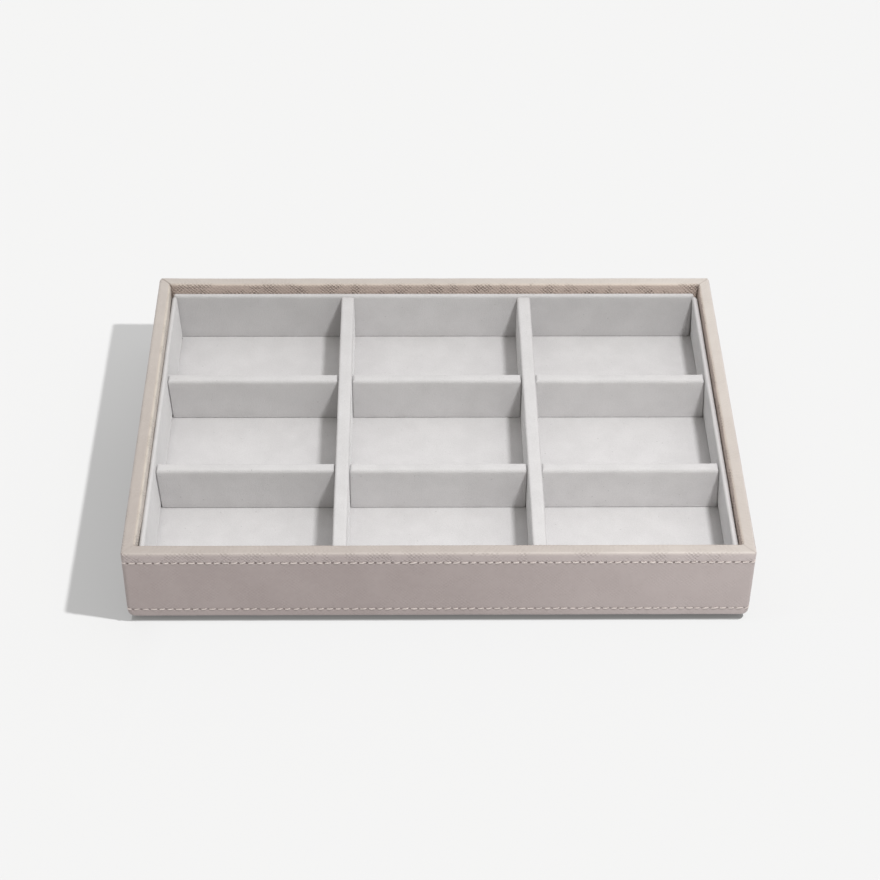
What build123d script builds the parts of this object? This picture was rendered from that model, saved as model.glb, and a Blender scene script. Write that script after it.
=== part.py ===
from build123d import *
from math import sqrt
import os

# A stacking jewelry tray: boards covered in leatherette, with a velvet insert of nine compartments.
# The frame is millimetres, +X to the right, +Y to the back, +Z up. The origin is the middle of the
# underside.

# Overall size
tray_width = 250.0
tray_depth = 180.0
skirt_height = 35.1        # leatherette sides, from their lower edge to the rim

# Leatherette cover
leather_thickness = 0.9
corner_radius = 1.8        # upright outer corners
rim_outer_round = 1.2
rim_inner_round = 0.8
skirt_bottom_round = 1.3
inner_corner_radius = 1.0
inner_turn_down = 16.0     # how far the leatherette runs down inside

# Boards
board_thickness = 3.6      # rim boards and base board are cut from one stock

# Raised foot that nests in the rim of the tray below
plinth_drop = 3.0          # how far it stands below the skirt
plinth_corner_radius = 3.0
plinth_edge_round = 0.5
nest_clearance = 1.0       # foot to rim of the tray below, on each side
wrap_gap = 0.3             # cut edge of the turned-under leatherette to the foot

# Velvet insert
velvet_thickness = 0.6
floor_card_thickness = 2.0
floor_gap = 0.3            # floor card to the boards, on each side
liner_gap = 0.15           # front and back walls to the leatherette behind them
panel_thickness = 2.4      # front and back walls with their velvet
panel_height = 23.6
panel_edge_round = 1.15
left_end_gap = 1.0         # their left ends to the leatherette
right_end_gap = 1.65       # their right ends to the leatherette
side_panel_thickness = 2.0
side_panel_edge_round = 0.95
side_panel_lean = 1.2      # both side walls tip to the left by this much at their tops
left_panel_gap = 1.85      # left wall's lower outer edge to the leatherette
right_panel_gap = 1.6      # right wall's lower inner edge to the leatherette

# Dividers
long_thickness = 5.8
long_set_down = 0.3        # top of the long dividers below the top of the inner walls
cross_thickness = 5.0
cross_set_down = 2.6       # top of the cross dividers below the top of the inner walls
divider_edge_round = 1.2
divider_gap = 0.15         # each divider end to what it meets
column_pitch = 79.7        # long divider to long divider
column_shift = 0.35        # their middle line, to the right of the tray's
row_pitch = 58.1           # back cross dividers to front ones
row_shift = -2.0           # their middle line, towards the front

overrun = 1.0              # how far a cutting solid runs past the face it cuts

# Levels, upwards from the surface that the tray stands on
skirt_bottom = plinth_drop
rim_top = skirt_bottom + skirt_height
board_bottom = skirt_bottom + leather_thickness
board_top = rim_top - leather_thickness
base_top = board_bottom + board_thickness
card_top = base_top + floor_card_thickness
floor_top = card_top + velvet_thickness
inner_wrap_bottom = rim_top - inner_turn_down
long_height = panel_height - long_set_down
cross_height = panel_height - cross_set_down

# Sizes across the tray
rim_width = board_thickness + 2 * leather_thickness
frame_width = tray_width - 2 * leather_thickness
frame_depth = tray_depth - 2 * leather_thickness
inside_width = frame_width - 2 * board_thickness
inside_depth = frame_depth - 2 * board_thickness
opening_width = tray_width - 2 * rim_width
opening_depth = tray_depth - 2 * rim_width
plinth_width = opening_width - 2 * nest_clearance
plinth_depth = opening_depth - 2 * nest_clearance

# Where the walls stand
wall_outer_y = opening_depth / 2 - liner_gap
wall_inner_y = wall_outer_y - panel_thickness
left_wall_x = -opening_width / 2 + left_panel_gap      # lower left edge of each side wall
right_wall_x = opening_width / 2 - right_panel_gap
lean_rise = sqrt(panel_height ** 2 - side_panel_lean ** 2)
left_wall_foot_x = left_wall_x + side_panel_thickness * lean_rise / panel_height


def finish(part, name):
    """Label one piece and write it to its file."""
    part.label = name
    export_step(part, "parts/" + name + ".step")


def covered_board(name, base, length, thickness, height, edge_round, ends_show, low_slant=0.0,
                  high_slant=0.0):
    """A standing card core with sharp edges, and the velvet folded over its sides, ends and top.

    base is the plane it stands on, with its X along the board's length. The velvet is rounded along
    its top edges, and at the ends too where they show. An end with a slant tips towards low X and is
    that far over at the top."""
    up = Axis(base.origin, base.z_dir)
    along = Axis(base.origin, base.x_dir)
    side_on = Plane(origin=base.origin, x_dir=base.x_dir, z_dir=-base.y_dir)

    def profile(inset):
        """The board seen from its side, smaller by the inset at its ends and top."""
        half, top = length / 2 - inset, height - inset
        share = top / height
        return ((-half, 0), (half, 0), (half - high_slant * share, top), (-half - low_slant * share, top))

    with BuildPart() as core:
        with BuildSketch(side_on):
            Polygon(*profile(velvet_thickness), align=None)
        extrude(amount=thickness / 2 - velvet_thickness, both=True)
    with BuildPart() as velvet:
        with BuildSketch(side_on):
            Polygon(*profile(0), align=None)
        extrude(amount=thickness / 2, both=True)
        levels = velvet.edges().group_by(up)
        if ends_show:
            fillet(levels[1] + levels[2], radius=edge_round)
        else:
            fillet(levels[2].filter_by(along), radius=edge_round)
        add(core.part, mode=Mode.SUBTRACT)
    finish(core.part, name + "_core")
    finish(velvet.part, name + "_velvet")


os.makedirs("parts", exist_ok=True)

# The leatherette: one strip round the sides, over the rim, down inside and turned under the boards
with BuildPart() as outer_wrap:
    with BuildSketch(Plane.XY.offset(skirt_bottom)):
        RectangleRounded(tray_width, tray_depth, corner_radius)
    extrude(amount=skirt_height)
    fillet(outer_wrap.faces().sort_by(Axis.Z)[-1].edges(), radius=rim_outer_round)
    fillet(outer_wrap.faces().sort_by(Axis.Z)[0].edges(), radius=skirt_bottom_round)
    # the open inside, as deep as the leatherette that lines it
    with BuildSketch(Plane.XY.offset(inner_wrap_bottom)):
        RectangleRounded(opening_width, opening_depth, inner_corner_radius)
    extrude(amount=inner_turn_down + overrun, mode=Mode.SUBTRACT)
    rim_plane_edges = outer_wrap.edges().filter_by_position(Axis.Z, rim_top, rim_top)
    inner_rim_edges = rim_plane_edges.sort_by(lambda e: abs(e.center().X) / opening_width
                                              + abs(e.center().Y) / opening_depth)[0:8]
    fillet(inner_rim_edges, radius=rim_inner_round)
    # below it, the space between the boards
    with BuildSketch(Plane.XY.offset(board_bottom)):
        Rectangle(inside_width, inside_depth)
    extrude(amount=inner_wrap_bottom - board_bottom, mode=Mode.SUBTRACT)
    # the boards' own space
    with BuildSketch(Plane.XY.offset(board_bottom)):
        RectangleRounded(frame_width, frame_depth, corner_radius - leather_thickness)
        Rectangle(inside_width, inside_depth, mode=Mode.SUBTRACT)
    extrude(amount=board_top - board_bottom, mode=Mode.SUBTRACT)
    # the window that the foot comes through
    with BuildSketch(Plane.XY.offset(skirt_bottom - overrun)):
        RectangleRounded(plinth_width + 2 * wrap_gap, plinth_depth + 2 * wrap_gap,
                         plinth_corner_radius + wrap_gap)
    extrude(amount=leather_thickness + 2 * overrun, mode=Mode.SUBTRACT)
finish(outer_wrap.part, "outer_wrap")

# Front and back boards run the full width and carry the rounded outer corners
for name, side in (("front_board", -1), ("back_board", 1)):
    with BuildPart() as long_board:
        with BuildSketch(Plane.XY.offset(board_bottom)):
            with Locations((0, side * (frame_depth - board_thickness) / 2)):
                Rectangle(frame_width, board_thickness)
        extrude(amount=board_top - board_bottom)
        outer_corners = long_board.edges().filter_by(Axis.Z).sort_by(Axis.Y, reverse=side > 0)[0:2]
        fillet(outer_corners, radius=corner_radius - leather_thickness)
    finish(long_board.part, name)

# Side boards stand between them
for name, side in (("left_board", -1), ("right_board", 1)):
    with BuildPart() as short_board:
        with BuildSketch(Plane.XY.offset(board_bottom)):
            with Locations((side * (frame_width - board_thickness) / 2, 0)):
                Rectangle(board_thickness, inside_depth)
        extrude(amount=board_top - board_bottom)
    finish(short_board.part, name)

with BuildPart() as base_board:
    with BuildSketch(Plane.XY.offset(board_bottom)):
        Rectangle(inside_width, inside_depth)
    extrude(amount=board_thickness)
finish(base_board.part, "base_board")

# The foot: a board in a shallow velvet pan, glued under the base board
with BuildPart() as plinth_board:
    with BuildSketch(Plane.XY.offset(velvet_thickness)):
        RectangleRounded(plinth_width - 2 * velvet_thickness, plinth_depth - 2 * velvet_thickness,
                         plinth_corner_radius - velvet_thickness)
    extrude(amount=board_bottom - velvet_thickness)
finish(plinth_board.part, "plinth_board")

with BuildPart() as plinth_cover:
    with BuildSketch():
        RectangleRounded(plinth_width, plinth_depth, plinth_corner_radius)
    extrude(amount=board_bottom)
    fillet(plinth_cover.faces().sort_by(Axis.Z)[0].edges(), radius=plinth_edge_round)
    add(plinth_board.part, mode=Mode.SUBTRACT)
finish(plinth_cover.part, "plinth_cover")

# The floor that all nine compartments share
for name, level, thickness in (("floor_card", base_top, floor_card_thickness),
                               ("floor_velvet", card_top, velvet_thickness)):
    with BuildPart() as sheet:
        with BuildSketch(Plane.XY.offset(level)):
            Rectangle(inside_width - 2 * floor_gap, inside_depth - 2 * floor_gap)
        extrude(amount=thickness)
    finish(sheet.part, name)

# Back and front inner walls
long_panel_length = opening_width - left_end_gap - right_end_gap
long_panel_middle = (left_end_gap - right_end_gap) / 2
for name, side in (("front_panel", -1), ("back_panel", 1)):
    wall_middle_y = side * (wall_outer_y - panel_thickness / 2)
    stand = Plane(origin=(long_panel_middle, wall_middle_y, floor_top))
    covered_board(name, stand, long_panel_length, panel_thickness, panel_height, panel_edge_round,
                  ends_show=True)

# Side inner walls stand between them, tipped about their lower left edges
side_panel_length = 2 * (wall_inner_y - divider_gap)
for name, edge_x in (("left_panel", left_wall_x), ("right_panel", right_wall_x)):
    lean_edge = Plane(origin=(edge_x, 0, floor_top), x_dir=(0, 1, 0), z_dir=(-side_panel_lean, 0, lean_rise))
    stand = Plane(origin=lean_edge.from_local_coords((0, -side_panel_thickness / 2, 0)),
                  x_dir=lean_edge.x_dir, z_dir=lean_edge.z_dir)
    covered_board(name, stand, side_panel_length, side_panel_thickness, panel_height,
                  side_panel_edge_round, ends_show=False)

# Long dividers, front to back
left_divider_x = column_shift - column_pitch / 2
right_divider_x = column_shift + column_pitch / 2
for name, divider_x in (("left_divider", left_divider_x), ("right_divider", right_divider_x)):
    stand = Plane(origin=(divider_x, 0, floor_top), x_dir=(0, 1, 0), z_dir=(0, 0, 1))
    covered_board(name, stand, side_panel_length, long_thickness, long_height, divider_edge_round,
                  ends_show=True)

# Cross dividers: two rows, one in each of the three columns. The ends at the side walls are cut to
# the slant of those.
cross_slant = side_panel_lean * cross_height / lean_rise
columns = (("left", left_wall_foot_x, left_divider_x - long_thickness / 2, cross_slant, 0),
           ("middle", left_divider_x + long_thickness / 2, right_divider_x - long_thickness / 2, 0, 0),
           ("right", right_divider_x + long_thickness / 2, right_wall_x, 0, cross_slant))
rows = (("back", row_shift + row_pitch / 2), ("front", row_shift - row_pitch / 2))
for row_name, row_y in rows:
    for column_name, low_x, high_x, low_slant, high_slant in columns:
        stand = Plane(origin=((low_x + high_x) / 2, row_y, floor_top))
        covered_board(row_name + "_" + column_name + "_cross", stand, high_x - low_x - 2 * divider_gap,
                      cross_thickness, cross_height, divider_edge_round, ends_show=True,
                      low_slant=low_slant, high_slant=high_slant)
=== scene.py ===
"""A stacking tray: leatherette over boards, stitched round the skirt, with a velvet insert of nine
compartments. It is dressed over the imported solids.

Sizes are in metres, in the tray's own frame: X to the right, Y to the back, Z up from the surface that
the tray stands on. Most pieces are rings of columns round a rounded rectangle, carried up a profile."""
import bpy
import numpy as np
from bpy.props import FloatProperty, FloatVectorProperty, IntProperty, PointerProperty
from mathutils import Euler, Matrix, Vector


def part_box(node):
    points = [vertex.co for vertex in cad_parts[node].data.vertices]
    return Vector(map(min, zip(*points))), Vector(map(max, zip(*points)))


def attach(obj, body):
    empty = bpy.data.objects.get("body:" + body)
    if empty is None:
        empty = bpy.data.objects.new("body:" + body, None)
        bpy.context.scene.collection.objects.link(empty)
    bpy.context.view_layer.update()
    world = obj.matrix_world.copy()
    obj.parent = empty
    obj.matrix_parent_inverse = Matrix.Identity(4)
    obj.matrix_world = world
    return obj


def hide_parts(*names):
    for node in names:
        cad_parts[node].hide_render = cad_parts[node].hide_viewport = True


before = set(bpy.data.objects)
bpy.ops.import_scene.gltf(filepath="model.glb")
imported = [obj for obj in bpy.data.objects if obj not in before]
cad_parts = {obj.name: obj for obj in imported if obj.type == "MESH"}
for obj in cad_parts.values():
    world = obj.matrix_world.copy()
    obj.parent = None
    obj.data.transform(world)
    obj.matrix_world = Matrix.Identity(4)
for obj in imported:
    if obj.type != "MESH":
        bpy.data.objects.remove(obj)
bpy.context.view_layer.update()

bl_info = {
    "name": "Stacking tray",
    "version": (1, 0, 0),
    "blender": (4, 5, 0),
    "location": "3D View > Sidebar > Tray",
    "description": "Leatherette, stitching, velvet and a stage for a stacking tray",
    "category": "Object",
}

# Places that the solids give
wrap_low, wrap_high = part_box("outer_wrap")
foot_low, foot_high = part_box("plinth_cover")
rim_board_low, rim_board_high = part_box("left_board")
floor_low, floor_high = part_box("floor_velvet")
back_wall_low, back_wall_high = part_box("back_panel_velvet")

bottom, top = wrap_low.z, wrap_high.z
half_width, half_depth = wrap_high.x, wrap_high.y
skin_thickness = rim_board_low.x - wrap_low.x
rim_width = rim_board_high.x - wrap_low.x + skin_thickness

LONG_WALLS = ("front_panel", "back_panel")
SIDE_WALLS = ("left_panel", "right_panel")
LONG_DIVIDERS = ("left_divider", "right_divider")
CROSS_DIVIDERS = tuple(row + "_" + column + "_cross"
                       for row in ("back", "front") for column in ("left", "middle", "right"))
RIM_BOARDS = ("front_board", "back_board", "left_board", "right_board", "base_board", "plinth_board")

# Painted light and shade: how much lighter or darker the faces of a cover are made, all along or left, middle
# and right
FACE_PAINTED_LIGHT = {"back_panel": (-0.06, 0.03, -0.065), "left_panel": 0.08, "back_middle_cross": 0.03,
           "back_right_cross": 0.085, "front_left_cross": 0.015, "front_middle_cross": 0.09,
           "front_right_cross": 0.15}


def length_prop(name, description, default):
    """A length in metres, shown to a hundredth of a millimetre."""
    return FloatProperty(name=name, description=description, default=default, precision=5,
                         subtype="DISTANCE", unit="LENGTH")


def number_prop(name, description, default, **unit):
    """A plain number, or one with the unit given."""
    return FloatProperty(name=name, description=description, default=default, **unit)


def place_prop(name, description, default):
    """A place in metres."""
    return FloatVectorProperty(name=name, description=description, default=default,
                               subtype="TRANSLATION", unit="LENGTH")


def colour_prop(name, description, default):
    """A colour with no alpha."""
    return FloatVectorProperty(name=name, description=description, default=default, subtype="COLOR",
                               size=3, min=0.0, max=1.0)


class LeatheretteSettings(bpy.types.PropertyGroup):
    """Sizes and colours of the leatherette strip"""
    corner_radius: length_prop("Corner radius", "Radius of the upright outer corners", 0.0018)
    rim_outer_round: length_prop("Outer rim round", "Round where the skirt meets the rim", 0.0012)
    rim_inner_round: length_prop("Inner rim round", "Round where the rim turns down inside", 0.0012)
    skirt_round: length_prop("Skirt round", "Round along the lower edge of the skirt", 0.0013)
    corner_slack: length_prop("Corner slack", "Added to the corner radius at the skirt's lower edge", 0.0018)
    rim_tightness: length_prop("Rim tightness", "Taken off the corner radius at the rim", 0.0005)
    inner_corner: length_prop("Inner corner", "Radius of the upright inner corners", 0.001)
    turn_down: length_prop("Turn-down", "How far the strip runs down inside", 0.016)
    foot_gap: length_prop("Gap to the foot", "Cut edge under the tray to the foot", 0.0003)
    waviness: length_prop("Waviness", "How far the surface wanders from flat", 0.00007)
    belly: length_prop("Belly", "How far the left side's strip stands off its board inside", 0.0006)
    fold_step: length_prop("Fold step", "Step of the mitre fold across each rim corner", 0.00016)
    grain_pitch: length_prop("Grain pitch", "Spacing of the crossing grain lines", 0.00127)
    colour: colour_prop("Colour", "Colour of the raised grain", (0.585, 0.516, 0.508))
    shade: colour_prop("Shade", "Colour down in the grain", (0.36, 0.303, 0.297))


class StitchSettings(bpy.types.PropertyGroup):
    """Sizes and colour of the two rows of stitching"""
    count: IntProperty(name="Stitches", description="Stitches in one row round the tray", default=255)
    upper_height: length_prop("Upper row", "Height of the upper row", 0.0330)
    lower_height: length_prop("Lower row", "Height of the lower row", 0.0073)
    stitch_length: length_prop("Stitch length", "Part of a stitch that shows", 0.0026)
    thread: length_prop("Thread", "Thickness of the thread", 0.00068)
    spread: number_prop("Spread", "Share by which stitches differ in length and thickness", 0.10)
    slant: length_prop("Slant", "How far a stitch rises from end to end", 0.00042)
    slant_spread: length_prop("Slant spread", "How far stitches differ in that", 0.00026)
    colour: colour_prop("Thread colour", "Colour of the thread", (0.70, 0.625, 0.595))


class VelvetSettings(bpy.types.PropertyGroup):
    """Sizes and colours of the velvet insert and the foot"""
    thickness: length_prop("Velvet thickness", "Velvet with its glue", floor_high.z - floor_low.z)
    wall_height: length_prop("Wall height", "Height of the inner walls above the floor",
                             back_wall_high.z - back_wall_low.z)
    wall_round: length_prop("Wall edge round", "Round along the top of the front and back walls", 0.00115)
    side_wall_thickness: length_prop("Side wall thickness", "Side wall with its velvet", 0.002)
    side_wall_round: length_prop("Side wall edge round", "Round along the top of the side walls", 0.00095)
    side_lean: length_prop("Side wall lean", "How far the side walls tip to the left at their tops", 0.0012)
    divider_round: length_prop("Divider edge round", "Round along the top of the long dividers", 0.0009)
    cross_round: length_prop("Cross divider edge round", "Round along the top of the cross dividers", 0.0012)
    cross_end_round: length_prop("Cross divider end round", "Round at their upright ends", 0.0005)
    puff: FloatVectorProperty(name="Puff", description="How far the left and right wall's velvet stands out "
                              "towards the leatherette", default=(0.00010, -0.00035), size=2, precision=5,
                              subtype="NONE", unit="LENGTH")
    corner_gap: length_prop("Corner gap", "How far the velvet of a side wall stops short at each end", 0.0003)
    tuck: length_prop("Tuck", "How far the velvet turns in where it meets the floor", 0.0002)
    side_tuck: length_prop("Side wall tuck", "The same, for the side walls", 0.0011)
    unevenness: length_prop("Unevenness", "How far the velvet wanders from flat", 0.00012)
    foot_round: length_prop("Foot round", "Upright corners of the foot", 0.003)
    foot_edge: length_prop("Foot edge", "Round under the foot", 0.0005)
    colour: colour_prop("Velvet colour", "Colour of the nap that catches the light", (0.600, 0.589, 0.594))
    shade: colour_prop("Velvet shade", "Colour of the nap that lies over", (0.522, 0.512, 0.516))
    foot_colour: colour_prop("Foot colour", "Colour of the velvet on the foot", (0.42, 0.405, 0.39))
    foot_shade: colour_prop("Foot shade", "Colour of the foot's nap that lies over", (0.34, 0.327, 0.315))


class BoardSettings(bpy.types.PropertyGroup):
    """Colours of the boards and cards inside"""
    board_colour: colour_prop("Fibreboard", "Colour of the fibreboard", (0.42, 0.29, 0.17))
    board_shade: colour_prop("Fibreboard shade", "Colour of its darker fibres", (0.28, 0.18, 0.10))
    card_colour: colour_prop("Greyboard", "Colour of the greyboard", (0.36, 0.34, 0.31))
    card_shade: colour_prop("Greyboard shade", "Colour of its darker flecks", (0.22, 0.21, 0.19))


class StageSettings(bpy.types.PropertyGroup):
    """Floor, light and camera"""
    floor_tone: number_prop("Floor tone", "How bright the floor is seen, from 0 to 1", 0.913)
    key_power: number_prop("Key power", "Power of the lamp that lights the tray", 19.6,
                           subtype="POWER", unit="POWER")
    key_place: place_prop("Key place", "Where that lamp hangs", (0.227, -0.33, 0.755))
    key_size: length_prop("Key size", "Radius of that lamp", 0.045)
    floor_power: number_prop("Floor power", "Power of the lamp that lights the floor", 87.0,
                             subtype="POWER", unit="POWER")
    floor_place: place_prop("Floor lamp place", "Where that lamp hangs", (0.395, -0.194, 0.775))
    floor_size: length_prop("Floor lamp size", "Radius of that lamp", 0.018)
    floor_glow: number_prop("Floor glow", "Part of the floor's tone that no shadow takes away", 0.35)
    glow_under: number_prop("Glow under", "The same, for the floor under the tray", 0.135)
    glow_behind: number_prop("Glow behind", "Added to the glow beside the back of the tray", 0.08)
    glow_ahead: number_prop("Glow ahead", "Added to the glow close to the front of the tray", 0.33)
    sky_even: number_prop("Even sky", "Strength of the light from all round", 0.42)
    sky_above: number_prop("Sky above", "Added strength straight overhead", 0.66)
    sky_behind: number_prop("Sky behind", "Share by which the sky is stronger at the back and weaker at the "
                            "front", 0.36)
    sky_right: number_prop("Sky right", "Share by which the sky is stronger at the right and weaker at the "
                           "left", 0.12)
    camera_place: place_prop("Camera place", "Where the camera stands", (-0.01154, -0.69132, 0.62405))
    camera_turn: FloatVectorProperty(name="Camera turn", description="Turn of the camera",
                                     default=tuple(np.radians((48.787, -0.471, -0.665))),
                                     subtype="EULER", unit="ROTATION")
    camera_lens: number_prop("Lens", "Focal length in millimetres on a 36 mm frame", 87.508)


# At the ends of a rounded rectangle's sides and corners: shares of the half sides, and the way out
SHARE_X = (1, 1, 1, -1, -1, -1, -1, 1, 1, 1)
SHARE_Y = (0, 1, 1, 1, 1, -1, -1, -1, -1, 0)
TURN = (0, 0, 90, 90, 180, 180, 270, 270, 360, 360)


def loop_marks(side_x, side_y, corner):
    """Running totals at the ends of the sides and corners of a rounded rectangle.

    They start at the middle of the +X side and go round counter-clockwise, half a side first."""
    return np.cumsum([0, side_y / 2, corner, side_x, corner, side_y, corner, side_x, corner, side_y / 2])


def skirt_marks(radius):
    """The same totals in metres, for the skirt's outline."""
    return loop_marks(2 * (half_width - radius), 2 * (half_depth - radius), radius * np.pi / 2)


def loop_places(distance, marks):
    """Where points stand on a rounded rectangle of any size.

    A point keeps the centre of its corner circle, as a share of the half sides, and the direction
    outwards. The share runs from corner to corner along a side, and the direction turns by 90 degrees
    round a corner."""
    turn = np.radians(np.interp(distance, marks, TURN))
    return (np.interp(distance, marks, SHARE_X), np.interp(distance, marks, SHARE_Y),
            np.cos(turn), np.sin(turn))


def contour(places, half_x, half_y, radius):
    """Points of a rounded rectangle: share times (half side less radius), plus radius outwards."""
    share_x, share_y, out_x, out_y = places
    return share_x * (half_x - radius) + radius * out_x, share_y * (half_y - radius) + radius * out_y


def arc(steps):
    """Sines and cosines of even angles from 0 to 90 degrees."""
    angles = np.radians(np.linspace(0, 90, steps))
    return list(zip(np.sin(angles), np.cos(angles)))


def bell(distance, width):
    """A bump that is 1 at no distance and fades by e to the minus square of distance over width."""
    return np.exp(-(distance / width) ** 2)


def ripple(across, along, seed):
    """Smooth unevenness from -1 to 1: a mean of plane sine waves of seeded direction and phase."""
    waves, along_rate, across_rate = 7, 190, 210
    chance = np.random.default_rng(seed)
    total = 0.0
    for lengthwise, crosswise, phase in chance.uniform(-1, 1, (waves, 3)):
        total = total + np.sin(lengthwise * along * along_rate + crosswise * across * across_rate
                               + phase * np.pi)
    return total / waves


def grid_quads(rows, columns, close_rows=False, close_columns=False):
    """Corner numbers of the quads between neighbouring rows and columns of a grid of points."""
    row, column = np.meshgrid(np.arange(rows - (not close_rows)),
                              np.arange(columns - (not close_columns)), indexing="ij")
    next_row = (row + 1) % rows
    next_column = (column + 1) % columns
    return np.stack([row * columns + column, row * columns + next_column,
                     next_row * columns + next_column, next_row * columns + column], -1).reshape(-1, 4)


def grid_uv(row_value, column_value):
    """U from the column and V from the row at each corner of grid_quads' quads.

    Both arrays have one value more than the grid where it closes on itself."""
    row, column = np.meshgrid(np.arange(len(row_value) - 1), np.arange(len(column_value) - 1),
                              indexing="ij")
    u = np.stack([column_value[column], column_value[column + 1],
                  column_value[column + 1], column_value[column]], -1)
    v = np.stack([row_value[row], row_value[row], row_value[row + 1], row_value[row + 1]], -1)
    return np.stack([u, v], -1).reshape(-1, 4, 2)


def make_piece(name, points, quads, material, uv=None, masks=None, triangles=(), smooth_below=42):
    """One closed mesh from points, quads and triangles, turned so that its faces point outwards.

    The enclosed volume is a sixth of the sum of corner . (corner x corner) over the triangles. Where
    it comes out negative, the faces are turned over."""
    triangles = np.array(triangles, int).reshape(-1, 3)
    corners = points[np.concatenate([triangles, quads[:, :3], quads[:, (0, 2, 3)]])]
    if np.einsum("ij,ij->", corners[:, 0], np.cross(corners[:, 1], corners[:, 2])) < 0:
        quads, triangles = quads[:, ::-1], triangles[:, ::-1]
        uv = None if uv is None else uv[:, ::-1]
    mesh = bpy.data.meshes.new(name)
    mesh.from_pydata(points.tolist(), [], quads.tolist() + triangles.tolist())
    if uv is not None:
        mesh.uv_layers.new(name="skin").data.foreach_set("uv", np.ascontiguousarray(uv).ravel())
    for mask, values in (masks or {}).items():
        mesh.attributes.new(mask, "FLOAT", "POINT").data.foreach_set("value", values.ravel())
    mesh.polygons.foreach_set("use_smooth", np.ones(len(mesh.polygons), bool))
    mesh.set_sharp_from_angle(angle=np.radians(smooth_below))
    if mesh.validate():
        raise RuntimeError(name + " has faces that don't hold together")
    mesh.materials.append(material)
    piece = bpy.data.objects.new(name, mesh)
    bpy.context.scene.collection.objects.link(piece)
    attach(piece, "root")
    return piece


class Field:
    """A node's output: a value or colour that varies over a surface. Arithmetic on it adds Math nodes."""

    def __init__(self, tree, output):
        self.tree = tree
        self.output = output

    def step(self, operation, *others):
        """A Math node's result, with this field first."""
        return reckon(self.tree, operation, self, *others)

    def __add__(self, other):
        return self.step("ADD", other)

    def __sub__(self, other):
        return self.step("SUBTRACT", other)

    def __rsub__(self, other):
        return reckon(self.tree, "SUBTRACT", other, self)

    def __mul__(self, other):
        return self.step("MULTIPLY", other)

    def __truediv__(self, other):
        return self.step("DIVIDE", other)

    def __rtruediv__(self, other):
        return reckon(self.tree, "DIVIDE", other, self)

    def __abs__(self):
        return self.step("ABSOLUTE")

    def between(self, low, high, to_low=0.0, to_high=1.0):
        """The field carried smoothly from low..high to to_low..to_high, and held at both ends."""
        return made(self.tree, "MapRange", {0: self, 1: low, 2: high, 3: to_low, 4: to_high},
                    interpolation_type="SMOOTHSTEP")


def join(tree, value, socket):
    """Links a field to a socket, or sets the socket to a plain value; a colour gets its alpha."""
    if isinstance(value, Field):
        tree.links.new(value.output, socket)
    elif socket.type == "RGBA":
        socket.default_value = (*value[:3], 1)
    else:
        socket.default_value = value


def add_node(tree, kind, sockets=None, **settings):
    """A shader node with its settings, and its sockets joined to values or fields."""
    node = tree.nodes.new("ShaderNode" + kind)
    for key, value in settings.items():
        setattr(node, key, value)
    for key, value in (sockets or {}).items():
        join(tree, value, node.inputs[key])
    return node


def made(tree, kind, sockets=None, pick=0, **settings):
    """One output of a new node."""
    return Field(tree, add_node(tree, kind, sockets, **settings).outputs[pick])


def parts(tree, kind, sockets, **settings):
    """All outputs of a new node."""
    return [Field(tree, output) for output in add_node(tree, kind, sockets, **settings).outputs]


def reckon(tree, operation, *values):
    """The result of a Math node."""
    return made(tree, "Math", dict(enumerate(values)), operation=operation)


def least(first, *others):
    """The smallest of some fields."""
    for other in others:
        first = first.step("MINIMUM", other)
    return first


def most(first, other):
    """The larger of a field and a field or value."""
    return first.step("MAXIMUM", other)


def blend(tree, share, low, high, way="MIX"):
    """Low where share is 0, and where it is 1 high, or with the way MULTIPLY low times high."""
    return made(tree, "Mix", {0: share, 6: low, 7: high}, 2, data_type="RGBA", blend_type=way)


def noise(tree, vector, scale, detail=2.0, roughness=0.5):
    """Soft noise about 0.5 with as many features to the metre as the scale says."""
    return made(tree, "TexNoise", {"Vector": vector, "Scale": scale, "Detail": detail,
                                   "Roughness": roughness})


def bump(tree, strength, distance, height):
    """Normals of a surface whose height varies by a field times the distance in metres."""
    return made(tree, "Bump", {"Strength": strength, "Distance": distance, "Height": height})


def painted(tree, *names):
    """The masks of these names that a mesh carries."""
    return [made(tree, "Attribute", pick="Fac", attribute_name=name) for name in names]


def placed(tree, group, sockets):
    """The outputs of a node group placed in a tree."""
    return parts(tree, "Group", sockets, node_tree=bpy.data.node_groups[group])


def new_group(name, inputs, outputs):
    """An empty node group, its inputs (name, kind, default) as fields, and its outputs (name, kind)."""
    group = bpy.data.node_groups.new(name, "ShaderNodeTree")
    for socket_name, kind, default in inputs:
        socket = group.interface.new_socket(socket_name, in_out="INPUT", socket_type="NodeSocket" + kind)
        if default is not None:
            socket.default_value = default
    for socket_name, kind in outputs:
        group.interface.new_socket(socket_name, in_out="OUTPUT", socket_type="NodeSocket" + kind)
    given = group.nodes.new("NodeGroupInput").outputs
    return (group, [Field(group, given[index]) for index in range(len(inputs))],
            group.nodes.new("NodeGroupOutput").inputs)


def new_material(name):
    """A material, its node tree, its surface shader and its object coordinates."""
    material = bpy.data.materials.new(name)
    material.use_nodes = True
    tree = material.node_tree
    return material, tree, tree.nodes["Principled BSDF"], made(tree, "TexCoord", pick="Object")


def feed(tree, shader, **sockets):
    """Joins values and fields to the shader's sockets, by name with _ for a space."""
    for key, value in sockets.items():
        join(tree, value, shader.inputs[key.replace("_", " ")])


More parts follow.
